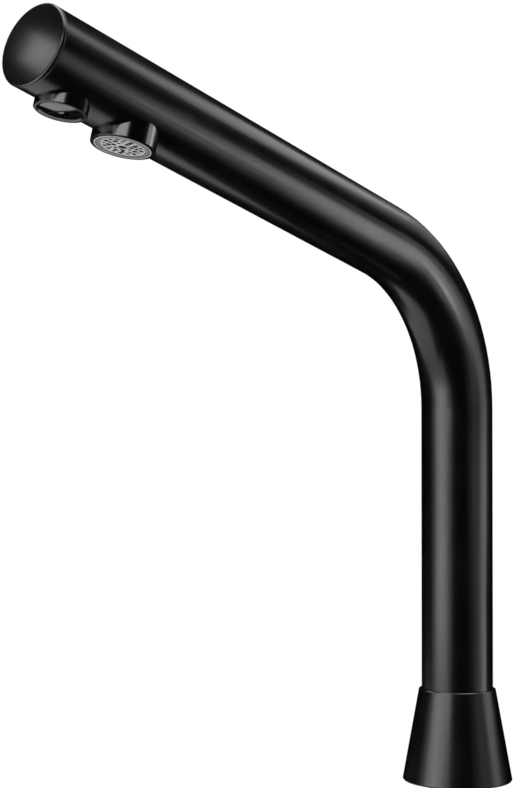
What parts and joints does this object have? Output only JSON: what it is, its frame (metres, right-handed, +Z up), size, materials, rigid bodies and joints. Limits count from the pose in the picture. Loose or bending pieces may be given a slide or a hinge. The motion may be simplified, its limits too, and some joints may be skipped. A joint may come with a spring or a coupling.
{
  "type": "sensor tap",
  "caption": "Fixed worktop tap with a bent round spout, a sensor window and an aerator under its end, a flared base cover, and studs with a clamp plate below the worktop.",
  "frame": {"origin": "centre of the foot's underside, on the worktop's surface, on the riser tube's axis", "axes": "+Z up along the riser tube, -Y towards the outlet end of the spout, +X to the right seen from behind the user, who stands at -Y looking along +Y"},
  "size_m": [0.05, 0.2796, 0.3708],
  "materials": {
    "black_metal": "matt black powder coat over brass, fine satin sheen",
    "brass": "machined brass",
    "stainless": "bright stainless steel",
    "plated_steel": "zinc plated steel",
    "rubber": "matt black rubber",
    "copper": "drawn copper pipe",
    "grey_plastic": "light grey moulded acetal",
    "white_plastic": "white moulded acetal",
    "dark_window": "polished dark infrared window",
    "black_plastic": "black moulded plastic",
    "circuit_board": "green solder mask",
    "clear_lens": "clear epoxy",
    "dark_lens": "dark epoxy",
    "lead_jacket": "dark grey cable jacket",
    "contact_metal": "gold flashed contacts"
  },
  "bodies": {
    "tap_body": {"spout_tube": "black_metal", "aerator_collar": "black_metal", "sensor_collar": "black_metal", "base_foot": "brass", "outlet_body": "brass", "outlet_lock_ring": "brass", "lower_pipe_nut": "brass", "upper_pipe_nut": "brass", "lower_pipe_ferrule": "brass", "upper_pipe_ferrule": "brass", "stud_left": "stainless", "stud_right": "stainless", "tube_grub_screws": "stainless", "base_seal": "rubber", "outlet_seal": "rubber", "sensor_seal": "rubber", "water_pipe": "copper", "sensor_window": "dark_window", "sensor_body": "black_plastic", "sensor_lid": "black_plastic", "sensor_holder": "black_plastic", "lead_clips": "black_plastic", "lead_socket": "black_plastic", "sensor_board": "circuit_board", "infrared_emitter": "clear_lens", "infrared_receiver": "dark_lens", "sensor_lead": "lead_jacket", "socket_pins": "contact_metal"},
    "cover": {"base_cover": "black_metal", "base_cover_seal": "rubber"},
    "cap": {"end_cap": "black_metal", "end_cap_seal": "rubber"},
    "aerator_washer": {"aerator_seal": "rubber", "aerator_strainer": "white_plastic"},
    "aerator": {"aerator_cartridge": "grey_plastic", "aerator_regulator": "white_plastic", "aerator_face": "grey_plastic"},
    "clamp": {"clamp_rubber": "rubber", "clamp_plate": "plated_steel", "clamp_washers": "stainless"},
    "nut_left": {"clamp_nut_left": "stainless"},
    "nut_right": {"clamp_nut_right": "stainless"}
  },
  "joints": [
    {"name": "cover_lift", "type": "slide", "parent": "tap_body", "child": "cover", "axis": [0, 0, 1], "range_m": [0, 0.12]},
    {"name": "cap_pull", "type": "slide", "parent": "tap_body", "child": "cap", "axis": [0, -0.9636, 0.2672], "range_m": [0, 0.012]},
    {"name": "aerator_travel", "type": "slide", "parent": "tap_body", "child": "aerator_washer", "axis": [0, -0.2672, -0.9636], "range_m": [0, 0.005]},
    {"name": "aerator_turn", "type": "hinge", "parent": "aerator_washer", "child": "aerator", "pos_m": [0, -0.2064, 0.26571], "axis": [0, -0.2672, -0.9636], "range_deg": [0, 1800]},
    {"name": "clamp_travel", "type": "slide", "parent": "tap_body", "child": "clamp", "axis": [0, 0, -1], "range_m": [-0.028, 0.015]},
    {"name": "nut_left_turn", "type": "hinge", "parent": "clamp", "child": "nut_left", "pos_m": [-0.0125, 0, -0.04], "axis": [0, 0, -1], "range_deg": [-10080, 5400]},
    {"name": "nut_right_turn", "type": "hinge", "parent": "clamp", "child": "nut_right", "pos_m": [0.0125, 0, -0.04], "axis": [0, 0, -1], "range_deg": [-10080, 5400]}
  ],
  "couplings": [
    {"joint": "aerator_turn", "follows": "aerator_travel", "rad_per_m": 6283.2},
    {"joint": "nut_left_turn", "follows": "clamp_travel", "rad_per_m": 6283.2},
    {"joint": "nut_right_turn", "follows": "clamp_travel", "rad_per_m": 6283.2}
  ]
}
